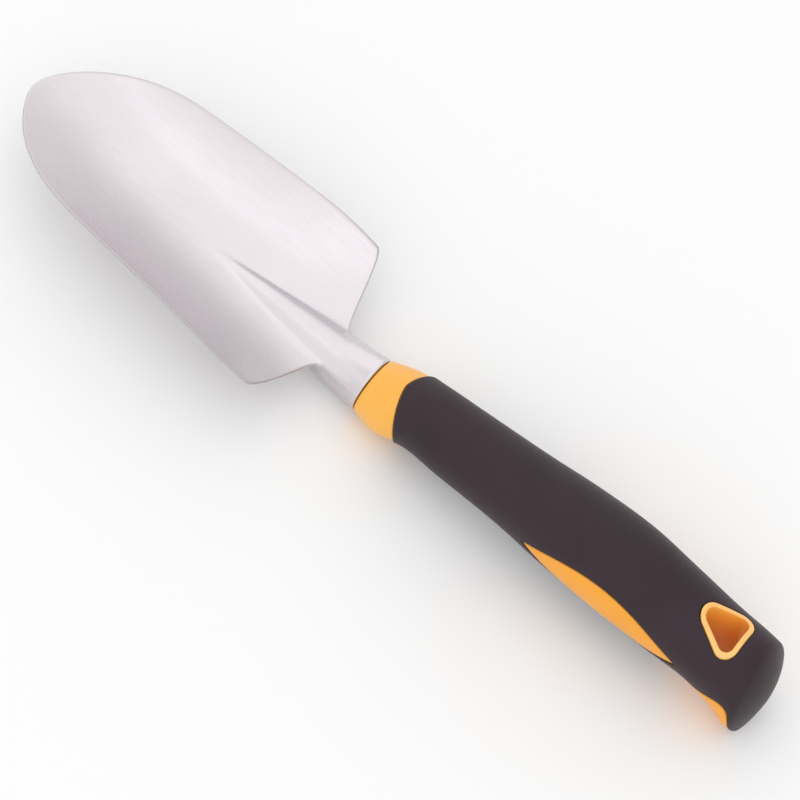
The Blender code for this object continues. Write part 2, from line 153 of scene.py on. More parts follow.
SKIN = 0.04               # keeps the visible skin just inside the solid's own


def half_width(x):
    """Half width of the sheet: a tapering side, times a rounded nose, blended into the neck."""
    d = TIP_X - x
    nose = np.clip(1 - d / NOSE_LENGTH, 0, 1)
    body = NOSE_WIDTH + SIDE_TAPER * d - TAIL_DRAW * np.maximum(d - TAIL_TURN, 0) ** 2
    body = body * np.maximum(1 - nose ** NOSE_POWER, 0) ** NOSE_RISE
    width = TAIL_W + (body - TAIL_W) * smoothstep((x - TAIL_X0) / (TAIL_X1 - TAIL_X0))
    return np.where(d < 0, 4 * d, width)


def sheet_top(x, y):
    """Height of the scoop: a floor rising as a power of the length, plus a parabola across."""
    t = np.clip((x - FLOOR_BACK_X) / (TIP_X - FLOOR_BACK_X), 0, 1)
    dish = DISH * (1 - DISH_FADE * ((x - DISH_MID_X) / DISH_SPAN) ** 2)
    return FLOOR_Z + FLOOR_RISE * t ** FLOOR_POWER + dish * y * y, 2 * dish * y


def rod(x):
    """Radius and axis height of the neck, which narrows to the sheet and then to the rib's end."""
    back = np.clip((NECK_X - x) / (NECK_X - NECK_BACK_X), 0, 1)
    ahead = np.clip((x - NECK_X) / (RIB_TIP_X - NECK_X), 0, 3)
    radius = NECK_R + (NECK_BACK_R - NECK_R) * back ** 2 + (RIB_TIP_R - NECK_R) * ahead
    return radius, NECK_BACK_LIFT * back + RIB_TIP_LIFT * ahead


def sheet_distance(p):
    """Rounded-box distance to the sheet, from the height off its middle and the way to its edge."""
    x, y, z = p[..., 0], p[..., 1], p[..., 2]
    top, slope = sheet_top(x, y)
    step = 0.05
    ahead = (sheet_top(x + step, y)[0] - top) / step
    lean = np.sqrt(1 + slope ** 2 + ahead ** 2)
    wide = half_width(x)
    thick = PLATE - EDGE_THIN * np.clip(np.abs(y) / np.maximum(wide, 1), 0, 1) ** 4
    off = np.abs((z - top) / lean + thick / 2) - thick / 2 + SKIN
    grow = (half_width(x + step) - half_width(x - step)) / (2 * step)
    side = (np.abs(y) - wide) / np.sqrt(1 + grow ** 2) + SKIN
    soft = EDGE_ROUND * thick
    a, b = side + soft, off + soft
    outside = np.hypot(np.maximum(a, 0), np.maximum(b, 0))
    return outside + np.minimum(np.maximum(a, b), 0) - soft


def rod_distance(p):
    """Distance to the tapered rod, square to its axis, by a power mean of width and height.

    Round at the neck, its section grows wider than high and gets a ridge towards the rib's end.
    """
    radius, lift = rod(p[..., 0])
    ahead = np.clip((p[..., 0] - NECK_X) / (RIB_TIP_X - NECK_X), 0, 1)
    power = 2 + (RIB_ROUND - 2) * ahead
    y = np.hypot(p[..., 1], RIDGE_R * ahead) / (1 + RIB_SPREAD * ahead)
    z = np.hypot(p[..., 2] - lift, RIDGE_SOFT)
    return (y ** power + z ** power) ** (1 / power) - radius + SKIN


def casting(p):
    """Smooth minimum of sheet and rod, softer at the neck than towards the rib's end."""
    a, b = rod_distance(p), sheet_distance(p)
    ahead = smoothstep((p[..., 0] - FILLET_X) / FILLET_RUN)
    soft = FILLET_NECK + (FILLET_RIB - FILLET_NECK) * ahead
    h = np.clip(0.5 + 0.5 * (b - a) / soft, 0, 1)
    return b + (a - b) * h - soft * h * (1 - h)


def settle(p, field, rounds=9, reach=0.8):
    """Newton steps down the field's slope until the points lie where it is zero."""
    step = 0.02
    shift = np.eye(3) * step
    for _ in range(rounds):
        value = field(p)
        slope = np.stack([(field(p + s) - field(p - s)) / (2 * step) for s in shift], -1)
        length = np.maximum((slope ** 2).sum(-1), 0.2)
        move = -(value / length)[..., None] * slope
        size = np.linalg.norm(move, axis=-1, keepdims=True)
        p = p + move * np.minimum(1, reach / np.maximum(size, 1e-9))
    return p


# %% [markdown]
# The grid over the casting runs along the tool and round its section. Each section's path goes
# over the rib, out along the sheet, round the rim and back underneath, with points spread evenly
# by path length. On the neck the same path is simply a circle, so the wings grow out of it
# without a break. Newton steps then settle every point on the blended skin.

# %% Blade grid
def section_path(x, top_n, edge_n, low_n):
    """Half a section for each x, from the top of the middle to its underside, by path length."""
    x = x[:, None]
    radius, lift = rod(x)
    radius = np.maximum(radius, 1e-3)
    wide = half_width(x)
    meet = np.minimum(radius * 0.9, wide)
    over = sheet_top(x, meet)[0] - lift
    angle_top = np.arccos(np.clip(over / radius, -1, 1))
    angle_low = np.arccos(np.clip((over - PLATE) / radius, -1, 1))
    wing_top = np.maximum(wide - radius * np.sin(angle_top), 0)
    wing_low = np.maximum(wide - radius * np.sin(angle_low), 0)
    arc_top, arc_low = radius * angle_top, radius * (np.pi - angle_low)

    s = np.linspace(0, 1, top_n)[None, :] * (arc_top + wing_top)
    angle = np.minimum(s, arc_top) / radius
    y = radius * np.sin(angle) + np.maximum(s - arc_top, 0)
    on_arc = s < arc_top
    z = np.where(on_arc, lift + radius * np.cos(angle), sheet_top(x, y)[0])
    top = np.stack([np.broadcast_to(x, y.shape), y, z], -1)

    s = np.linspace(0, 1, low_n)[None, :] * (arc_low + wing_low)
    angle = angle_low + np.maximum(s - wing_low, 0) / radius
    y = np.where(s < wing_low, wide - s, radius * np.sin(angle))
    z = np.where(s < wing_low, sheet_top(x, y)[0] - PLATE, lift + radius * np.cos(angle))
    low = np.stack([np.broadcast_to(x, y.shape), y, z], -1)

    t = np.linspace(0, 1, edge_n + 2)[None, 1:-1, None]
    edge = top[:, -1:] * (1 - t) + low[:, :1] * t
    return np.concatenate([top, edge, low], 1)


nose_turn = np.linspace(np.pi / 2, 0.03, 46)
nose_rows = TIP_X - NOSE_LENGTH * (1 - np.cos(nose_turn) ** (2 / NOSE_POWER))
rows = np.concatenate([
    np.linspace(NECK_BACK_X + SHOULDER, TAIL_X0 - 0.5, 16),
    np.linspace(TAIL_X0 - 0.5, TAIL_X1 + 2, 46)[1:],
    np.linspace(TAIL_X1 + 2, TIP_X - NOSE_LENGTH, 66)[1:-1],
    nose_rows,
])
half = section_path(rows, 40, 5, 46)
mirror = half[:, -2:0:-1] * [1, -1, 1]
skin = settle(np.concatenate([half, mirror], 1), casting)
print("blade skin off by at most, mm:", float(np.abs(casting(skin)).max()))

# %% [markdown]
# Behind the neck the casting steps down to a tang that sits in the handle. Its rings are rounded
# rectangles with as many points as the neck's, so they simply continue the tube.

# %% Blade mesh
TANG_X, TANG_HALF_W, TANG_HALF_H, TANG_LIFT = -75.0, 6.0, 4.0, 4.2


def squircle(x, half_w, half_h, lift, angle):
    """Rounded rectangle: sine and cosine over the fourth-power mean of their sizes."""
    s, c = np.sin(angle), np.cos(angle)
    size = (s ** 4 + c ** 4) ** -0.25
    return np.stack([np.full(angle.shape, x), half_w * s * size, lift + half_h * c * size], -1)


neck_end = skin[0]
neck_angle = np.arctan2(neck_end[:, 1], neck_end[:, 2] - NECK_BACK_LIFT)
shoulder = []
for turned in np.radians([75, 50, 25, 5]):
    ring = neck_end.copy()
    pull = 1 - SHOULDER * (1 - np.sin(turned)) / NECK_BACK_R
    ring[:, 0] = NECK_BACK_X + SHOULDER * (1 - np.cos(turned))
    ring[:, 1:] = [0, NECK_BACK_LIFT] + (neck_end[:, 1:] - [0, NECK_BACK_LIFT]) * pull
    shoulder.insert(0, ring)
tang = [squircle(x, TANG_HALF_W * k, TANG_HALF_H * k, TANG_LIFT, neck_angle)
        for x, k in ((TANG_X, 0.7), (TANG_X + 1.5, 1.0), (-40.0, 1.0), (NECK_BACK_X, 1.0))]
blade_rings = np.concatenate([np.stack(tang + shoulder), skin])
points, faces = closed_tube(blade_rings, flip=True)
blade = add_mesh("blade_casting", lay_down(points), faces)
to_edge = half_width(points[:, 0]) - np.abs(points[:, 1])
# rim: 1 at the blade's side edge, fading inward over a short width; the alloy darkens by it as
# painted shade along the edge
put_attribute(blade, "rim", smoothstep(1 - to_edge / RIM_SHADE_WIDE) * (points[:, 0] > TAIL_X0 + 4))
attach(blade, "root")
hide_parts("blade")

# %% [markdown]
# ## The handle's form
# All handle pieces share one surface: an ellipse whose half width, middle and half height change
# smoothly along the tool. It swells in the palm, narrows to a waist and flares at the butt. The
# numbers at each station are joined with cubic curves whose slopes match at the stations.

# %% Handle surface
STATIONS = np.array([
    # x, half width, middle, half height
    (-154.0, 16.0, 2.4, 17.2), (-147.0, 15.2, 5.3, 16.6), (-138.0, 14.9, 7.4, 14.9),
    (-118.0, 15.8, 9.0, 15.8), (-98.0, 16.6, 10.6, 16.6), (-76.0, 15.9, 10.3, 15.9),
    (-57.0, 14.4, 9.7, 14.4), (-30.0, 13.3, 7.9, 13.3), (-14.6, 12.7, 6.9, 12.7),
    (-4.5, 13.6, 3.0, 13.6), (6.0, 11.2, 1.2, 11.2),
])
STATION_X, STATION_V = STATIONS[:, 0], STATIONS[:, 1:]
STATION_SLOPE = np.gradient(STATION_V, STATION_X, axis=0)
COLLAR_X, STEP, LIP, WALL, LIP_RUN, GAP = 6.0, 0.7, 1.4, 2.6, 10.0, 0.3
SCALLOP_X, SCALLOP, SCALLOP_END, SCALLOP_POWER = -5.3, 6.6, np.radians(115.0), 1.5
RIM_TOP_X, RIM_LEAN, BUTT_X, DOME_DROP, DOME_FULL = -151.3, 4.4, -160.8, 6.0, 0.7
POCKET_X, POCKET_ROUND = -152.0, 3.0


def handle(x):
    """Half width, middle and half height at x: the cubic through two stations and their slopes."""
    x = np.clip(x, STATION_X[0], STATION_X[-1])
    i = np.clip(np.searchsorted(STATION_X, x) - 1, 0, len(STATION_X) - 2)
    h = (STATION_X[i + 1] - STATION_X[i])[..., None]
    t = (x - STATION_X[i])[..., None] / h
    out = (STATION_V[i] * (2 * t ** 3 - 3 * t ** 2 + 1)
           + STATION_SLOPE[i] * h * (t ** 3 - 2 * t ** 2 + t)
           + STATION_V[i + 1] * (3 * t ** 2 - 2 * t ** 3)
           + STATION_SLOPE[i + 1] * h * (t ** 3 - t ** 2))
    return out[..., 0], out[..., 1], out[..., 2]


def on_handle(x, angle, inset=0.0):
    """Point at x and at an angle from the top, moved inward by inset."""
    x, angle, inset = np.broadcast_arrays(np.asarray(x, float), angle, inset)
    a, c, b = handle(x)
    return np.stack([x, (a - inset) * np.sin(angle), c + (b - inset) * np.cos(angle)], -1)


def front_edge(angle):
    """Front edge of the grip: furthest forward on top, moved back by a power of a sine."""
    turned = np.abs((angle + np.pi) % (2 * np.pi) - np.pi)
    wave = np.sin(np.pi / 2 * np.clip(turned / SCALLOP_END, 0, 1))
    return SCALLOP_X - SCALLOP * wave ** SCALLOP_POWER


def rim_x(angle):
    """Where the domed end begins: a plane that leans back towards its lower side."""
    return RIM_TOP_X - RIM_LEAN * (1 - np.cos(angle))


# %% [markdown]
# ## Windows in the grip
# The soft grip is moulded round the core and leaves windows for the inlays and the hang hole.
# Each window is a distance function on the surface, positive outside. The pointed ovals are
# parabolas in the angle round the handle, the hang hole is a triangle with a radius, and the
# heel under the butt widens as a power of the way to its back.

# %% Window outlines
INLAY_X, INLAY_HALF, INLAY_ANGLE, INLAY_MID = -98.5, 31.0, np.radians(28.4), np.radians(94.0)
HOLE_TOP_X, HOLE_LOW_X, HOLE_TOP_Z, HOLE_LOW_Z = -134.0, -139.5, 21.8, -7.8
HOLE_FRONT, HOLE_BACK, HOLE_SPREAD, HOLE_R, HOLE_BLUNT, EYELET_T = 2.3, 5.0, 4.3, 4.5, 0.7, 1.7
HEEL_FRONT_X, HEEL_BACK_X, HEEL_MID_X, HEEL_R = -128.0, -157.0, -143.0, 15.3
HEEL_SPREAD, HEEL_RISE, HEEL_CORNER = np.radians(118.0), 0.65, 10
FAR = 9.0                 # stands for any distance too large to matter


def hole_x(z):
    """Middle of the leaning hang hole at a height."""
    t = (z - HOLE_LOW_Z) / (HOLE_TOP_Z - HOLE_LOW_Z)
    return HOLE_LOW_X + (HOLE_TOP_X - HOLE_LOW_X) * t


def hole_outline(radius, per_corner=14, per_side=10):
    """Rounded triangle: arcs round three corner centres, the front one larger, and straight sides."""
    corners = np.array([(HOLE_FRONT, 0.0), (-HOLE_BACK, HOLE_SPREAD), (-HOLE_BACK, -HOLE_SPREAD)])
    radii = radius + np.array([HOLE_BLUNT, 0, 0])
    side = HOLE_FRONT + HOLE_BACK
    tilt = np.arctan2(side, HOLE_SPREAD) + np.arcsin(HOLE_BLUNT / np.hypot(side, HOLE_SPREAD))
    spans = ((-tilt, tilt), (tilt, np.pi), (np.pi, 2 * np.pi - tilt))
    arcs = [corners[n] + radii[n] * np.stack([np.cos(a), np.sin(a)], -1)
            for n, a in enumerate(np.linspace(*span, per_corner) for span in spans)]
    t = np.linspace(0, 1, per_side)[1:-1, None]
    sides = [arcs[n][-1] * (1 - t) + arcs[(n + 1) % 3][0] * t for n in range(3)]
    return np.vstack([part for pair in zip(arcs, sides) for part in pair])


HOLE_LINE = hole_outline(HOLE_R)


def hole_distance(x, y):
    """Distance to the nearest side of the hole's outline, negative inside, as a polygon's."""
    p = np.stack([x, y], -1)[..., None, :]
    side = np.roll(HOLE_LINE, -1, 0) - HOLE_LINE
    to = p - HOLE_LINE
    t = np.clip((to * side).sum(-1) / (side ** 2).sum(-1), 0, 1)
    best = np.linalg.norm(to - t[..., None] * side, axis=-1).min(-1)
    inside = (side[:, 0] * to[..., 1] - side[:, 1] * to[..., 0] >= 0).all(-1)
    return np.where(inside, -best, best)


def near_hole(x, angle):
    """Distance to the hang hole's upper edge, measured across the hole; far away it is just large."""
    p = on_handle(x, angle)
    off_x, off_y = x - hole_x(p[..., 2]), p[..., 1]
    close = (np.abs(off_x) < 14) & (np.cos(angle) > 0)
    out = np.full(np.shape(x), FAR)
    out[close] = hole_distance(off_x[close], off_y[close])
    return out


def heel_wide(t):
    """Half width of the heel: a power of the way to its back, closed there by a high power."""
    t = np.clip(t, 0, 1)
    return HEEL_R * HEEL_SPREAD * t ** HEEL_RISE * np.sqrt(1 - t ** HEEL_CORNER)


def heel_distance(x, angle):
    """Rough distance to the heel's outline: a difference of powers over the length of its slope.

    Raising both sides to 1 / rise makes the front end as smooth as the rest.
    """
    length, power = HEEL_FRONT_X - HEEL_BACK_X, 1 / HEEL_RISE
    t = np.clip((HEEL_FRONT_X - x) / length, -0.5, 1.3)
    arc = np.abs((angle % (2 * np.pi)) - np.pi) / HEEL_SPREAD
    shut = np.clip(1 - np.abs(t) ** HEEL_CORNER, 1e-4, 1)
    excess = (arc ** 2 / shut + 1e-6) ** (power / 2) - t
    excess = np.where(t > 0.995, 1.0 + t, excess)
    rise = power * arc ** (power - 1) * shut ** (-power / 2) / (HEEL_R * HEEL_SPREAD)
    closing = HEEL_CORNER * np.abs(t) ** (HEEL_CORNER - 1)
    turn_back = (power / 2) * arc ** power * shut ** (-power / 2 - 1) * closing
    return excess / np.hypot(rise, (turn_back - 1) / length)


def window_distance(x, angle):
    """Distance on the surface to the nearest window's edge, the clearance included."""
    a, c, b = handle(x)
    u = (x - INLAY_X) / INLAY_HALF
    off_side = np.abs(np.abs((angle + np.pi) % (2 * np.pi) - np.pi) - INLAY_MID)
    spread = INLAY_ANGLE * (1 - u ** 2)
    slope = a * INLAY_ANGLE * 2 * u / INLAY_HALF
    oval = (off_side - spread) * a / np.sqrt(1 + slope ** 2) - GAP
    return np.minimum(np.minimum(oval, near_hole(x, angle) - GAP), heel_distance(x, angle) - GAP)


# %% [markdown]
# ## The soft grip
# A regular grid covers the grip. Where a grid line crosses a window's edge, the nearer of its two
# points slides onto the crossing, and cells inside the window are dropped. The edge then follows
# the outline exactly, and strips of quads roll it inward, as a soft moulding's edge is rounded.
# An inner copy of the grid gives the sleeve its wall.

# %% Grip grid
ROLL, BEND = 0.55, 1.2    # rounding of the windows' edges, and where the side starts to bend
AROUND, ROWS = 168, 206


def snap(x, angle, field):
    """Slides grid points onto the field's zero line along the grid, and says which lie inside."""
    d = field(x, angle)
    best = np.full(d.shape, FAR)
    to_x, to_a = x.copy(), angle.copy()
    for axis, way in ((0, 1), (0, -1), (1, 1), (1, -1)):
        nx, na, nd = (np.roll(v, way, axis) for v in (x, angle, d))
        if axis == 0:
            edge = 0 if way == 1 else -1
            nd[edge] = d[edge]
        da = (na - angle + np.pi) % (2 * np.pi) - np.pi
        cross = (d * nd) < 0
        t = np.where(cross, d / np.where(cross, d - nd, 1), FAR)
        use = (t <= 0.5) & (t < best)
        best = np.where(use, t, best)
        to_x = np.where(use, x + t * (nx - x), to_x)
        to_a = np.where(use, angle + t * da, to_a)
    snapped = best < FAR
    for _ in range(4):
        step = 0.01
        a = handle(to_x)[0]
        v = field(to_x, to_a)
        gx = (field(to_x + step, to_a) - field(to_x - step, to_a)) / (2 * step)
        ga = (field(to_x, to_a + step / a) - field(to_x, to_a - step / a)) / (2 * step)
        g2 = np.maximum(gx ** 2 + ga ** 2, 0.3)
        to_x = np.where(snapped, to_x - v * gx / g2, to_x)
        to_a = np.where(snapped, to_a - v * ga / g2 / a, to_a)
    return to_x, to_a, (d < 0) & ~snapped, snapped


def slope_of(field, x, angle):
    """Unit direction of the field's rise, as a step in x and a step in angle."""
    step = 0.02
    a = handle(x)[0]
    gx = field(x + step, angle) - field(x - step, angle)
    ga = field(x, angle + step / a) - field(x, angle - step / a)
    size = np.maximum(np.hypot(gx, ga), 1e-9)
    return gx / size, ga / size / a


def roll_line(x, angle):
    """Distance to the line round each window where the rolled edge begins."""
    return window_distance(x, angle) - ROLL


angle_row = np.linspace(0, 2 * np.pi, AROUND, endpoint=False)
share = np.linspace(0, 1, ROWS)[:, None]
front = front_edge(angle_row)[None, :] - ROLL
grid_x = front + (rim_x(angle_row)[None, :] + BEND - front) * share
grid_a = np.broadcast_to(angle_row, grid_x.shape).copy()
gx, ga, inside, snapped = snap(grid_x, grid_a, roll_line)

cells = tube_faces(ROWS, AROUND)
count_in = inside.ravel()[cells].sum(1)
all_snapped = snapped.ravel()[cells].all(1)
cx, ca = gx.ravel(), ga.ravel()
whole = cells[(count_in == 0) & ~all_snapped]
corner = cells[count_in == 1]
keep = ~inside.ravel()[corner]
triangles = corner[keep].reshape(-1, 3)
print("grip cells:", len(whole), "whole,", len(triangles), "cut at a window")

# %% [markdown]
# The wall of the sleeve goes straight inward at the ovals but follows the leaning hole near the
# hang hole, so its lining fits. The closed end is a shallow dome that hangs lower than the
# middle of the handle, with a small round where side and dome meet.

# %% Grip mesh
def inner_point(x, angle, inset):
    """Point under the surface; near the hang hole it moves along the hole, not squarely inward."""
    p = on_handle(x, angle)
    near = smoothstep(1.6 - near_hole(x, angle) / 3.0)
    a, c, b = handle(x)
    y = np.clip(p[..., 1] / (a - inset), -0.96, 0.96)
    up = np.where(np.cos(angle) >= 0, 1.0, -1.0)
    z = c + up * (b - inset) * np.sqrt(1 - y ** 2)
    lean = (HOLE_TOP_X - HOLE_LOW_X) / (HOLE_TOP_Z - HOLE_LOW_Z)
    along = np.stack([x + lean * (z - p[..., 2]), p[..., 1], z], -1)
    square = on_handle(x, angle, inset)
    return square + (along - square) * near[..., None]


def grip_depth(x, angle):
    """Thickness of the grip: a thin lip at the front, then the full wall."""
    return LIP + (WALL - LIP) * smoothstep((front_edge(angle) - x) / LIP_RUN)


def pocket_x(x):
    """Inner face's x: the same as outside, squeezed where the solid end begins."""
    start, squeeze = -150.2, 0.28
    return np.where(x > start, x, start + (x - start) * squeeze)


def dome_ring(size):
    """Ring of the domed end, 1 at its edge and 0 at its tip: a spherical cap with a low middle."""
    edge = on_handle(rim_x(angle_row), angle_row)
    a, c, b = handle(rim_x(angle_row))
    bulge = (1 - np.sqrt(1 - (DOME_FULL * size) ** 2)) / (1 - np.sqrt(1 - DOME_FULL ** 2))
    x = BUTT_X + (edge[:, 0] - BUTT_X) * bulge
    z = c - DOME_DROP * (1 - size) + b * size * np.cos(angle_row)
    return np.stack([x, edge[:, 1] * size, z], -1)


DOME_EDGE = 0.93
side = on_handle(rim_x(angle_row) + BEND, angle_row)
edge = on_handle(rim_x(angle_row), angle_row)
bend = [side * (1 - t) ** 2 + 2 * edge * t * (1 - t) + dome_ring(DOME_EDGE) * t ** 2
        for t in np.linspace(0, 1, 10)[1:]]
dome = np.stack(bend + [dome_ring(s) for s in np.linspace(DOME_EDGE, 0.02, 30)[1:]])
outer = on_handle(gx, ga)
inner = inner_point(pocket_x(gx), ga, grip_depth(gx, ga))
last_inner = inner[-1]
pocket = np.stack([last_inner.mean(0) + (last_inner - last_inner.mean(0)) * s - [d, 0, 0]
                   for s, d in ((0.97, 0.25), (0.9, 0.45), (0.5, 0.5), (0.05, 0.5))])

n_grid = ROWS * AROUND
points = [outer.reshape(-1, 3), inner.reshape(-1, 3), dome.reshape(-1, 3), pocket.reshape(-1, 3)]
starts = np.cumsum([0] + [len(p) for p in points])
j = np.arange(AROUND)
k = (j + 1) % AROUND
out_end, in_end = n_grid - AROUND, 2 * n_grid - AROUND
join_out = np.stack([out_end + j, out_end + k, starts[2] + k, starts[2] + j], -1)
join_in = np.stack([in_end + k, in_end + j, starts[3] + j, starts[3] + k], -1)
quads = [whole, whole[:, ::-1] + n_grid, join_out, join_in,
         tube_faces(len(dome), AROUND, starts[2]), tube_faces(len(pocket), AROUND, starts[3], True)]
tips = np.stack([dome[-1].mean(0), pocket[-1].mean(0)])
points.append(tips)
tip_out, tip_in = np.full(AROUND, starts[4]), np.full(AROUND, starts[4] + 1)
dome_end, pocket_end = starts[3] - AROUND, starts[4] - AROUND
fans = [triangles, triangles[:, ::-1] + n_grid,
        np.stack([dome_end + j, dome_end + k, tip_out], -1),
        np.stack([pocket_end + k, pocket_end + j, tip_in], -1)]


def open_edges(*groups):
    """Directed edges that only one face uses, from arrays of faces."""
    pairs = np.concatenate([np.stack([f, np.roll(f, -1, 1)], -1).reshape(-1, 2) for f in groups])
    big = int(pairs.max()) + 1
    return pairs[~np.isin(pairs[:, 0] * big + pairs[:, 1], pairs[:, 1] * big + pairs[:, 0])]


loose = open_edges(whole, triangles)
loose = loose[~(loose // AROUND == ROWS - 1).all(1)]
at, local = np.unique(loose, return_inverse=True)
local = local.reshape(loose.shape)
bx, ba = cx[at], ca[at]
in_front = at < AROUND
sx, sa = slope_of(window_distance, bx, ba)
sx, sa = np.where(in_front, -1.0, sx), np.where(in_front, 0.0, sa)
total = starts[4] + 2
strips, ring_points = [], []
for turned in np.linspace(0, np.pi / 2, 6)[1:]:
    reach = ROLL * np.sin(turned)
    ring_points.append(on_handle(bx - sx * reach, ba - sa * reach, ROLL * (1 - np.cos(turned))))
ring_points.append(inner_point(bx - sx * ROLL, ba - sa * ROLL, grip_depth(bx, ba)))
one, two = local.T
rounds = [at] + [total + n * len(at) + np.arange(len(at)) for n in range(len(ring_points))]
for now, following in zip(rounds, rounds[1:] + [at + n_grid]):
    strips.append(np.stack([now[two], now[one], following[one], following[two]], -1))
points = np.vstack(points + ring_points)
all_quads, all_fans = np.vstack(quads + strips), np.vstack(fans)
used, back = np.unique(np.concatenate([all_quads.ravel(), all_fans.ravel()]), return_inverse=True)
new_quads = back[:all_quads.size].reshape(-1, 4)
new_fans = back[all_quads.size:].reshape(-1, 3)
grip = add_mesh("grip_soft", lay_down(points[used]), new_quads.tolist() + new_fans.tolist())
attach(grip, "root")
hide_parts("grip_sleeve")

# %% [markdown]
# ## The hard core and its collar
# The amber core is one moulding. In front it tapers to meet the neck and makes the collar; under
# the grip it has a groove for the grip's lip and fills the sleeve. It is a tube of rings from the
# bottom of the tang's socket, over the front face and collar, to the closed end. A Boolean takes
# out the hang hole, all of it hidden under the grip.

# %% Core mesh
core_turn = np.linspace(0, 2 * np.pi, 160, endpoint=False)
grip_front = front_edge(core_turn)
core_front = grip_front + GAP
COLLAR_ROUND, LIP_ROUND, CORE_SKIN = 0.8, 0.3, 0.02


def core_skin(x, inset):
    """Ring of the core under the handle's surface, just inside the solid's own."""
    return on_handle(x, core_turn, inset + CORE_SKIN)


socket = [squircle(x, (TANG_HALF_W + GAP) * s, (TANG_HALF_H + GAP) * s, TANG_LIFT, core_turn)
          for x, s in ((TANG_X - GAP, 0.3), (TANG_X - GAP, 0.97), (TANG_X, 1.0), (-30.0, 1.0),
                       (COLLAR_X - 0.5, 1.0), (COLLAR_X - 0.15, 1.03), (COLLAR_X, 1.1))]
collar = []
for turned in np.linspace(0, np.pi / 2, 7):
    x = COLLAR_X - COLLAR_ROUND * (1 - np.cos(turned))
    collar.append(core_skin(x, STEP + COLLAR_ROUND * (1 - np.sin(turned))))
collar_start, collar_stop = COLLAR_X - COLLAR_ROUND, core_front + LIP_ROUND
for s in np.linspace(0, 1, 30)[1:]:
    collar.append(core_skin(collar_start + (collar_stop - collar_start) * s, STEP))
for turned in np.linspace(0, np.pi / 2, 5)[1:]:
    x = core_front + LIP_ROUND * (1 - np.sin(turned))
    collar.append(core_skin(x, STEP + LIP_ROUND * (1 - np.cos(turned))))
body = []
for s in np.concatenate([np.linspace(0, 0.08, 5), np.linspace(0.08, 1, 40)[1:]]):
    x = grip_front + (POCKET_X + POCKET_ROUND - grip_front) * s
    body.append(core_skin(x if s else core_front, grip_depth(x, core_turn) + GAP))
end = body[-1]
cap = []
for size, back_x in ((0.985, 1.2), (0.94, 2.2), (0.86, 2.7), (0.5, 2.7), (0.05, 2.7)):
    ring = end.mean(0) + (end - end.mean(0)) * size
    ring[:, 0] = end[:, 0].mean() - back_x
    cap.append(ring)
points, faces = closed_tube(np.stack(socket + collar + body + cap))
core = add_mesh("core_collar", lay_down(points), faces)

# %% The hang hole through the core
outline = hole_outline(HOLE_R + GAP)
prism = [np.column_stack([hole_x(z) + outline[:, 0], outline[:, 1], np.full(len(outline), z)])
         for z in (-30.0, 40.0)]
points, faces = closed_tube(np.stack(prism))
cutter = add_mesh("hole_cutter", lay_down(points), faces, smooth=False)
cut = core.modifiers.new("hang hole", "BOOLEAN")
cut.operation, cut.solver, cut.object = "DIFFERENCE", "EXACT", cutter
graph = bpy.context.evaluated_depsgraph_get()
core_mesh = bpy.data.meshes.new_from_object(core.evaluated_get(graph), depsgraph=graph)
core.modifiers.clear()
core.data = core_mesh
bpy.data.objects.remove(cutter, do_unlink=True)
print("core after the hole:", len(core.data.polygons), "faces")
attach(core, "root")
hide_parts("handle_core")

# %% [markdown]
# ## Inlays
# Each inlay is a thin pointed oval that follows the handle, slightly pillowed, with a rounded
# edge that drops into its window. Its rings are the oval's outline shrunk towards its middle.

# %% Inlay meshes
INLAY_T, INLAY_PROUD, INLAY_ROLL = 2.25, 0.35, 0.5
oval_turn = np.linspace(0, 2 * np.pi, 220, endpoint=False)


def oval_ring(size, depth):
    """Pointed oval scaled by size: cosine along, sine times its own size across, at a depth."""
    u = size * np.cos(oval_turn)
    across = size * np.sin(oval_turn) * np.abs(np.sin(oval_turn))
    return on_handle(INLAY_X + INLAY_HALF * u, INLAY_MID + INLAY_ANGLE * across, depth)


half_height = INLAY_ANGLE * float(handle(np.array(INLAY_X))[0])
flat_end = 1 - INLAY_ROLL / half_height
inlay_rings = [oval_ring(s, -INLAY_PROUD * (1 - (s / flat_end) ** 2))
               for s in np.linspace(0.01, flat_end, 26)]
for turned in np.linspace(0, np.pi / 2, 7)[1:]:
    size = flat_end + (1 - flat_end) * np.sin(turned)
    inlay_rings.append(oval_ring(size, INLAY_ROLL * (1 - np.cos(turned))))
inlay_rings += [oval_ring(s, INLAY_T) for s in (1.0, 0.9, 0.5, 0.01)]
inlays = []
for name, node, sign in (("inlay_left", "left_inlay", 1), ("inlay_right", "right_inlay", -1)):
    rings = np.stack(inlay_rings) * [1, sign, 1]
    points, faces = closed_tube(rings, flip=sign > 0)
    inlay = add_mesh(name, lay_down(points), faces)
    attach(inlay, "root")
    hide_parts(node)
    inlays.append(inlay)

# %% [markdown]
# ## Heel inlay
# Under the butt the amber shows again, as a saddle round the lower end of the hang hole. It is a
# ring between two outlines, the hole's and its own, with both edges rounded.

# %% Heel outline in polar form
def polar(points, angles):
    """Distance from the middle to an outline in each direction, read off its own points."""
    turned = np.arctan2(points[:, 1], points[:, 0])
    order = np.argsort(turned)
    return np.interp(angles, turned[order], np.hypot(*points.T)[order], period=2 * np.pi)


def at_surface(outline, sign, height):
    """Carry an outline along the hole to a height over the upper (+1) or lower (-1) surface."""
    z = np.full(len(outline), HOLE_TOP_Z if sign > 0 else HOLE_LOW_Z)
    for _ in range(16):
        a, c, b = handle(hole_x(z) + outline[:, 0])
        y = np.clip(outline[:, 1] / a, -0.98, 0.98)
        z = c + sign * (b + height) * np.sqrt(1 - y ** 2)
    return np.column_stack([hole_x(z) + outline[:, 0], outline[:, 1], z])


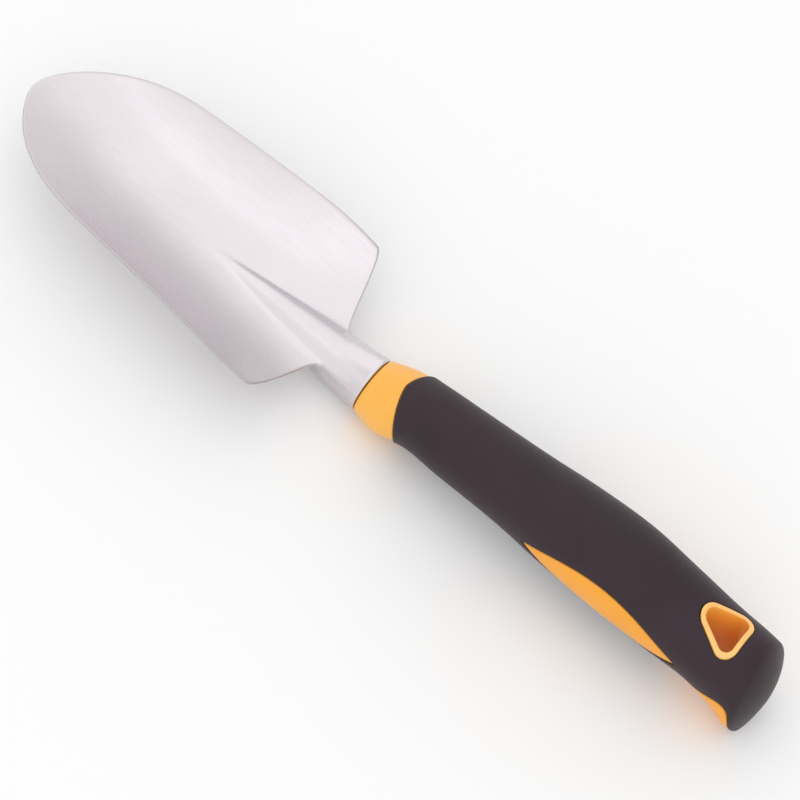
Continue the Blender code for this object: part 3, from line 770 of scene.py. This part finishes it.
t = (1 - np.cos(np.linspace(0, np.pi, 600))) / 2
edge_x = HEEL_FRONT_X + (HEEL_BACK_X - HEEL_FRONT_X) * t - HEEL_MID_X
edge_line = np.column_stack([edge_x, heel_wide(t)])
edge_line = np.vstack([edge_line, edge_line[-2:0:-1] * [1, -1]])
inner_line = at_surface(hole_outline(HOLE_R + GAP), -1, 0.0)
_, mid_z, _ = handle(inner_line[:, 0])
inner_line = np.column_stack([inner_line[:, 0] - HEEL_MID_X,
                              HEEL_R * np.arctan2(inner_line[:, 1], mid_z - inner_line[:, 2])])
heel_turn = np.linspace(-np.pi, np.pi, 240, endpoint=False)
in_way, out_way = polar(inner_line, heel_turn), polar(edge_line, heel_turn)
print("heel ring from", round(float(in_way.min()), 2), "to", round(float(out_way.max()), 2), "mm")

# %% Heel mesh
HEEL_T, HEEL_ROLL, HEEL_HOLE_ROLL = 2.25, 0.5, 0.3


def heel_ring(way, depth):
    """Ring at a distance from the heel's middle in each direction, wrapped round the handle."""
    x = HEEL_MID_X + way * np.cos(heel_turn)
    return on_handle(x, np.pi + way * np.sin(heel_turn) / HEEL_R, depth)


rings = []
for turned in np.linspace(0, np.pi / 2, 5):
    depth = HEEL_HOLE_ROLL * (1 - np.sin(turned))
    rings.append(heel_ring(in_way + HEEL_HOLE_ROLL * (1 - np.cos(turned)), depth))
inner_top, outer_top = in_way + HEEL_HOLE_ROLL, out_way - HEEL_ROLL
for s in np.linspace(0, 1, 22)[1:-1]:
    rings.append(heel_ring(inner_top + (outer_top - inner_top) * s, 0.0))
for turned in np.linspace(0, np.pi / 2, 7):
    depth = HEEL_ROLL * (1 - np.cos(turned))
    rings.append(heel_ring(outer_top + HEEL_ROLL * np.sin(turned), depth))
for s in np.linspace(0, 1, 10):
    rings.append(heel_ring(out_way + (in_way - out_way) * s, HEEL_T))
points = lay_down(np.concatenate(rings))
heel = add_mesh("heel_inlay_saddle", points, loop_faces(len(rings), len(heel_turn)))
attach(heel, "root")
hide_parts("heel_inlay")
inlays.append(heel)

# %% [markdown]
# ## Hang-hole lining
# The lining is the outline of the hole swept round a profile: up the outside, over a rounded
# crown on top, down the inside and round again below. Each point is carried along the leaning
# hole until it meets the handle's surface, so both crowns follow the curve of the grip.

# %% Eyelet mesh
EYELET_PROUD = 0.35
crown = np.linspace(0, np.pi, 13)
offsets = EYELET_T / 2 * (1 - np.cos(crown))
heights = EYELET_PROUD * np.sin(crown) ** 0.8
upper = [at_surface(hole_outline(HOLE_R - o), 1, h) for o, h in zip(offsets, heights)]
lower = [at_surface(hole_outline(HOLE_R - o), -1, h) for o, h in zip(offsets, heights)]
wall = np.linspace(0, 1, 12)[1:-1, None, None]
inside_wall = upper[-1] * (1 - wall) + lower[-1] * wall
outside_wall = lower[0] * (1 - wall) + upper[0] * wall
rings = np.concatenate([np.stack(upper), inside_wall, np.stack(lower[::-1]), outside_wall])
count, around = rings.shape[:2]
points = lay_down(rings.reshape(-1, 3))
eyelet = add_mesh("hang_hole_lining", points, loop_faces(count, around, flip=True))
# painted shade: rings on the wall inside the hole get a deeper orange, standing in for shade and
# light bounced about inside the hole
painted_hole_shade = np.zeros(count)
wall_start, wall_stop = len(upper), len(upper) + len(inside_wall)
painted_hole_shade[wall_start:wall_stop] = 1
painted_hole_shade[wall_start - 2:wall_start] = (0.35, 0.8)
painted_hole_shade[wall_stop:wall_stop + 2] = (0.8, 0.35)
put_attribute(eyelet, "inside", np.repeat(painted_hole_shade, around))
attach(eyelet, "root")
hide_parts("hang_hole_eyelet")

# %% [markdown]
# ## Materials
# Each finish is a small node graph over object coordinates, so its grain has a real size and
# stays on the piece. Values that are the same all over are set on the shader itself.

# %% Material helpers
def finish(name, colour, rough, metal=0.0):
    """Principled material with plain values set, and its tree, shader and object coordinates."""
    mat = bpy.data.materials.new(name)
    mat.use_nodes = True
    tree = mat.node_tree
    shader = tree.nodes["Principled BSDF"]
    shader.inputs["Base Color"].default_value = (*colour, 1)
    shader.inputs["Roughness"].default_value = rough
    shader.inputs["Metallic"].default_value = metal
    coords = tree.nodes.new("ShaderNodeTexCoord")
    print(f"finish {name}: roughness {rough}, metal {metal}")
    return mat, tree, shader, coords.outputs["Object"]


def noise(tree, vector, scale, detail=3.0, stretch=None):
    """Noise texture; stretch squeezes it along each axis first."""
    if stretch:
        mapping = tree.nodes.new("ShaderNodeMapping")
        mapping.inputs["Scale"].default_value = stretch
        tree.links.new(vector, mapping.inputs["Vector"])
        vector = mapping.outputs["Vector"]
    node = tree.nodes.new("ShaderNodeTexNoise")
    node.inputs["Scale"].default_value = scale
    node.inputs["Detail"].default_value = detail
    tree.links.new(vector, node.inputs["Vector"])
    return node.outputs["Fac"]


def spread(tree, value, low, high, from_low=0.3, from_high=0.7):
    """Map a value's range to low and high."""
    node = tree.nodes.new("ShaderNodeMapRange")
    node.inputs["From Min"].default_value = from_low
    node.inputs["From Max"].default_value = from_high
    node.inputs["To Min"].default_value = low
    node.inputs["To Max"].default_value = high
    tree.links.new(value, node.inputs["Value"])
    return node.outputs["Result"]


def mix_colour(tree, factor, a, b):
    """Blend of two colours, or of a link and a colour."""
    node = tree.nodes.new("ShaderNodeMix")
    node.data_type = "RGBA"
    tree.links.new(factor, node.inputs["Factor"])
    for socket, value in ((node.inputs[6], a), (node.inputs[7], b)):
        if isinstance(value, tuple):
            socket.default_value = (*value, 1)
        else:
            tree.links.new(value, socket)
    return node.outputs[2]


def bump(tree, shader, height, strength, distance, base=None):
    """Bump of a height in metres, on top of another bump if one is given."""
    node = tree.nodes.new("ShaderNodeBump")
    node.inputs["Strength"].default_value = strength
    node.inputs["Distance"].default_value = distance
    tree.links.new(height, node.inputs["Height"])
    if base:
        tree.links.new(base, node.inputs["Normal"])
    tree.links.new(node.outputs["Normal"], shader.inputs["Normal"])
    return node.outputs["Normal"]


def attribute(tree, name):
    """A number stored on the mesh."""
    node = tree.nodes.new("ShaderNodeAttribute")
    node.attribute_name = name
    return node.outputs["Fac"]


# %% [markdown]
# ## Cast alloy
# The real blade is aluminium with a satin finish. A metal of one even roughness looks like grey
# paint, so here the roughness follows fine strokes along the tool and two small bumps break up the
# highlight. The darker rim is painted shade along the edge, from the number stored on the mesh.

# %% Alloy
alloy, tree, shader, place = finish("satin_alloy", (0.66, 0.615, 0.64), 0.30, 1.0)
brushed = noise(tree, place, 900, 4, (0.06, 1, 1))
grain = noise(tree, place, 2600, 2)
patches = noise(tree, place, 28)
tone = mix_colour(tree, spread(tree, patches, 0, 1), (0.655, 0.613, 0.637), (0.695, 0.652, 0.676))
# painted shade: the alloy is darker near the side edge, where the edge falls in shadow
painted_rim_shade = mix_colour(tree, attribute(tree, "rim"), tone, (0.52, 0.48, 0.50))
tree.links.new(painted_rim_shade, shader.inputs["Base Color"])
tree.links.new(spread(tree, brushed, 0.22, 0.31), shader.inputs["Roughness"])
strokes = bump(tree, shader, brushed, 0.10, 0.00004)
bump(tree, shader, grain, 0.12, 0.00003, strokes)
blade.data.materials.append(alloy)

# %% [markdown]
# ## Hard plastics
# Collar, inlays and lining are hard mouldings in three tones of orange. Three graphs drawn by
# hand would repeat each other, so one function makes them: a faint mottle where the plastic
# flowed, a satin roughness and a thin clear coat. Inside the hole the lining is painted a deeper
# orange, as painted shade and light bounced about in the hole.

# %% Plastics
def plastic(name, light, dark, rough):
    """Moulded plastic: a faint flow mottle and a very fine satin texture."""
    mat, tree, shader, place = finish(name, light, rough)
    shader.inputs["Coat Weight"].default_value = 0.15
    shader.inputs["Coat Roughness"].default_value = 0.25
    mottle = spread(tree, noise(tree, place, 60), 0, 1)
    tree.links.new(mix_colour(tree, mottle, dark, light), shader.inputs["Base Color"])
    satin = spread(tree, noise(tree, place, 1500, 2), rough - 0.05, rough + 0.06)
    tree.links.new(satin, shader.inputs["Roughness"])
    bump(tree, shader, noise(tree, place, 3200, 2), 0.10, 0.00003)
    return mat, tree, shader


amber, _, _ = plastic("amber_core", (0.95, 0.48, 0.07), (0.91, 0.435, 0.058), 0.34)
core.data.materials.clear()
core.data.materials.append(amber)
honey, _, _ = plastic("honey_inlay", (0.94, 0.39, 0.022), (0.90, 0.355, 0.018), 0.38)
for inlay in inlays:
    inlay.data.materials.append(honey)
orange, tree, shader = plastic("orange_lining", (0.98, 0.56, 0.17), (0.95, 0.52, 0.15), 0.34)
crown_colour = shader.inputs["Base Color"].links[0].from_socket
# painted shade: inside the hole the lining turns deeper orange, standing in for shade and bounced
# light
lining_with_painted_shade = mix_colour(tree, attribute(tree, "inside"), crown_colour, (1.0, 0.47, 0.06))
tree.links.new(lining_with_painted_shade, shader.inputs["Base Color"])
eyelet.data.materials.append(orange)

# %% [markdown]
# ## Soft grip
# The grip is a rubbery plastic, nearly black with a hint of plum. It is matt, so its roughness is
# high and its highlight weak. A pebbled bump too fine to see grain by grain keeps it from
# looking like paint, and a little sheen lifts the edges.

# %% Soft grip
rubber, tree, shader, place = finish("charcoal_soft", (0.02, 0.015, 0.017), 0.55)
shader.inputs["Specular IOR Level"].default_value = 0.36
shader.inputs["Sheen Weight"].default_value = 0.05
shader.inputs["Sheen Roughness"].default_value = 0.5
pebble = noise(tree, place, 1400)
cloud = spread(tree, noise(tree, place, 40), 0, 1)
charcoal = mix_colour(tree, cloud, (0.022, 0.0095, 0.015), (0.029, 0.0135, 0.021))
tree.links.new(charcoal, shader.inputs["Base Color"])
tree.links.new(spread(tree, pebble, 0.50, 0.62), shader.inputs["Roughness"])
bump(tree, shader, pebble, 0.22, 0.00006)
grip.data.materials.append(rubber)

# %% [markdown]
# ## Stage
# The tool lies on a pale matt floor, wide enough to have no edge in any view.

# %% Floor
floor_mesh = bpy.data.meshes.new("floor")
floor_mesh.from_pydata([(-4, -4, 0), (4, -4, 0), (4, 4, 0), (-4, 4, 0)], [], [(0, 1, 2, 3)])
floor = bpy.data.objects.new("floor", floor_mesh)
bpy.context.scene.collection.objects.link(floor)
floor_mesh.materials.append(finish("paper_floor", (0.93, 0.93, 0.93), 0.9)[0])

# %% [markdown]
# ## Camera
# The camera looks down on the tool from behind its handle, a little to its left. It stands well
# back with a long lens, so lengths near and far keep their proportions. Its direction is given
# by two angles from straight above the tool, and a roll lays the tool across the frame.

# %% Camera
CAMERA_BACK, CAMERA_SIDE, CAMERA_ROLL = np.radians(9.0), np.radians(28.0), np.radians(38.41)
CAMERA_FAR, CAMERA_LENS, CAMERA_TARGET = 0.9, 121.5, (-4.8, 0.0, 5.1)


def aim(thing, right, up, away, place):
    """Puts a camera or light at a place, its own axes along right, up and away from its view."""
    matrix = np.eye(4)
    matrix[:3] = np.column_stack([right, up, away, place])
    thing.matrix_world = Matrix(matrix.tolist())


sb, cb = np.sin(CAMERA_BACK), np.cos(CAMERA_BACK)
ss, cs = np.sin(CAMERA_SIDE), np.cos(CAMERA_SIDE)
to_camera = turn([-sb, cb * ss, cb * cs])
along_tool = turn([-cb, -sb * ss, -sb * cs])
across_tool = turn([0, cs, -ss])
right = along_tool * np.cos(CAMERA_ROLL) - across_tool * np.sin(CAMERA_ROLL)
down = along_tool * np.sin(CAMERA_ROLL) + across_tool * np.cos(CAMERA_ROLL)
camera_data = bpy.data.cameras.new("camera")
camera_data.sensor_width = 36
camera_data.lens = CAMERA_LENS
camera_data.clip_end = 20
camera = bpy.data.objects.new("camera", camera_data)
bpy.context.scene.collection.objects.link(camera)
place = lay_down(CAMERA_TARGET) + to_camera * CAMERA_FAR
aim(camera, right, -down, to_camera, place)
bpy.context.scene.camera = camera
print("camera at, m:", place.round(3))

# %% [markdown]
# ## Light
# Lamps all round would light the tool evenly, but satin metal shows the edge of each. A white sky
# has no edges and keeps shadows soft. It is darker low on one side, so the scoop gets a dark and
# a bright half, and dims a little opposite. One weak window adds a direction.

# %% Sky
world = bpy.data.worlds.new("studio")
world.use_nodes = True
tree = world.node_tree
sky = tree.nodes["Background"]
toward = tree.nodes.new("ShaderNodeTexCoord").outputs["Generated"]


def sky_slope(way, start, end, low, high):
    """Brightness going smoothly from low to high as direction . way goes from start to end."""
    lean = tree.nodes.new("ShaderNodeVectorMath")
    lean.operation = "DOT_PRODUCT"
    lean.inputs[1].default_value = way
    tree.links.new(toward, lean.inputs[0])
    bright = spread(tree, lean.outputs["Value"], low, high, start, end)
    bright.node.interpolation_type = "SMOOTHSTEP"
    return bright


both = tree.nodes.new("ShaderNodeMath")
both.operation = "MULTIPLY"
tree.links.new(sky_slope((2.0, 1.0, 0.25), -0.60, -0.16, 0.80, 1.26), both.inputs[0])
tree.links.new(sky_slope((1.5, 1.0, 0.0), 0.50, 0.95, 1.0, 0.78), both.inputs[1])
tree.links.new(both.outputs["Value"], sky.inputs["Strength"])
sky.inputs["Color"].default_value = (1, 1, 1, 1)
bpy.context.scene.world = world
bpy.context.scene.view_settings.view_transform = "Standard"

# %% Window light
WINDOW_PLACE, WINDOW_SIZE, WINDOW_WATTS = np.array([0.5, 0.9, 1.3]), 1.6, 1.2
window_data = bpy.data.lights.new("window", "AREA")
window_data.size, window_data.energy = WINDOW_SIZE, WINDOW_WATTS
window = bpy.data.objects.new("window", window_data)
bpy.context.scene.collection.objects.link(window)
away = WINDOW_PLACE / np.linalg.norm(WINDOW_PLACE)
side_way = np.cross([0, 0, 1], away)
side_way = side_way / np.linalg.norm(side_way)
aim(window, side_way, np.cross(away, side_way), away, WINDOW_PLACE)
print("window light:", WINDOW_WATTS, "W,", WINDOW_SIZE, "m wide")
